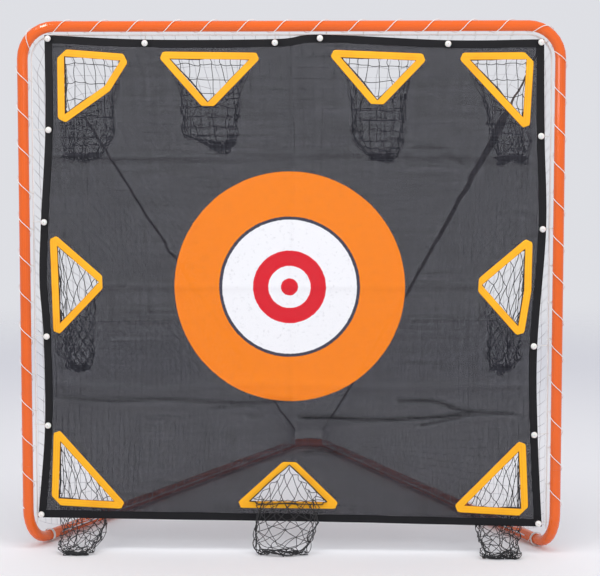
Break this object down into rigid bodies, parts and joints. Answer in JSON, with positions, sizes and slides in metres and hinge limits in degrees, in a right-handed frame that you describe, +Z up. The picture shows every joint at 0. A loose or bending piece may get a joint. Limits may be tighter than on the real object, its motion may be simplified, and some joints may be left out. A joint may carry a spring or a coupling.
{
  "type": "lacrosse goal with target sheet",
  "caption": "Square tubular sports goal on a V-shaped base, with a net and a dark mesh target sheet that has triangular openings with net pocket bags.",
  "frame": {"origin": "on the ground, at the middle of the goal's footprint", "axes": "+X to the right seen from the front, +Y from the mouth towards the rear bend, +Z up"},
  "size_m": [1.9132, 2.2186, 1.8711],
  "materials": {
    "orange_powder_coat": "gloss powder coat",
    "zinc_steel": "zinc plated",
    "spring_steel": "bright spring steel",
    "white_cord": "braided nylon cord",
    "charcoal_mesh_fabric": "woven open mesh, printed in the middle",
    "black_webbing": "woven webbing",
    "yellow_webbing": "woven webbing, stitched",
    "black_net": "knotted netting",
    "white_plastic": "moulded balls on white elastic",
    "white_net": "knotted netting"
  },
  "bodies": {
    "goal": {"top_hoop": "orange_powder_coat", "left_foot_bend": "orange_powder_coat", "right_foot_bend": "orange_powder_coat", "rear_bend": "orange_powder_coat", "left_post_sleeve": "zinc_steel", "left_post_spring": "spring_steel", "right_post_sleeve": "zinc_steel", "right_post_spring": "spring_steel", "left_ground_sleeve": "zinc_steel", "left_ground_spring": "spring_steel", "right_ground_sleeve": "zinc_steel", "right_ground_spring": "spring_steel", "net_edge_rope": "white_cord", "front_lacing": "white_cord", "left_ground_lacing": "white_cord", "right_ground_lacing": "white_cord", "target_sheet": "charcoal_mesh_fabric", "border_webbing": "black_webbing", "top_left_trim": "yellow_webbing", "top_inner_left_trim": "yellow_webbing", "top_inner_right_trim": "yellow_webbing", "top_right_trim": "yellow_webbing", "middle_left_trim": "yellow_webbing", "middle_right_trim": "yellow_webbing", "bottom_left_trim": "yellow_webbing", "bottom_centre_trim": "yellow_webbing", "bottom_right_trim": "yellow_webbing", "top_left_pocket": "black_net", "top_inner_left_pocket": "black_net", "top_inner_right_pocket": "black_net", "top_right_pocket": "black_net", "middle_left_pocket": "black_net", "middle_right_pocket": "black_net", "bottom_left_pocket": "black_net", "bottom_centre_pocket": "black_net", "bottom_right_pocket": "black_net", "ball_tie_01": "white_plastic", "ball_tie_02": "white_plastic", "ball_tie_03": "white_plastic", "ball_tie_04": "white_plastic", "ball_tie_05": "white_plastic", "ball_tie_06": "white_plastic", "ball_tie_07": "white_plastic", "ball_tie_08": "white_plastic", "ball_tie_09": "white_plastic", "ball_tie_10": "white_plastic", "ball_tie_11": "white_plastic", "ball_tie_12": "white_plastic", "ball_tie_13": "white_plastic", "ball_tie_14": "white_plastic", "ball_tie_15": "white_plastic", "ball_tie_16": "white_plastic", "goal_net": "white_net"},
    "left_post_button_body": {"left_post_button": "zinc_steel"},
    "right_post_button_body": {"right_post_button": "zinc_steel"},
    "left_ground_button_body": {"left_ground_button": "zinc_steel"},
    "right_ground_button_body": {"right_ground_button": "zinc_steel"}
  },
  "joints": [
    {"name": "left_post_button_press", "type": "slide", "parent": "goal", "child": "left_post_button_body", "axis": [0, -1, 0], "range_m": [0, 0.0045], "stiffness_N_per_m": 400, "springref_m": -0.002, "deforming": ["left_post_spring"]},
    {"name": "right_post_button_press", "type": "slide", "parent": "goal", "child": "right_post_button_body", "axis": [0, -1, 0], "range_m": [0, 0.0045], "stiffness_N_per_m": 400, "springref_m": -0.002, "deforming": ["right_post_spring"]},
    {"name": "left_ground_button_press", "type": "slide", "parent": "goal", "child": "left_ground_button_body", "axis": [0, 0, -1], "range_m": [0, 0.0045], "stiffness_N_per_m": 400, "springref_m": -0.002, "deforming": ["left_ground_spring"]},
    {"name": "right_ground_button_press", "type": "slide", "parent": "goal", "child": "right_ground_button_body", "axis": [0, 0, -1], "range_m": [0, 0.0045], "stiffness_N_per_m": 400, "springref_m": -0.002, "deforming": ["right_ground_spring"]}
  ]
}
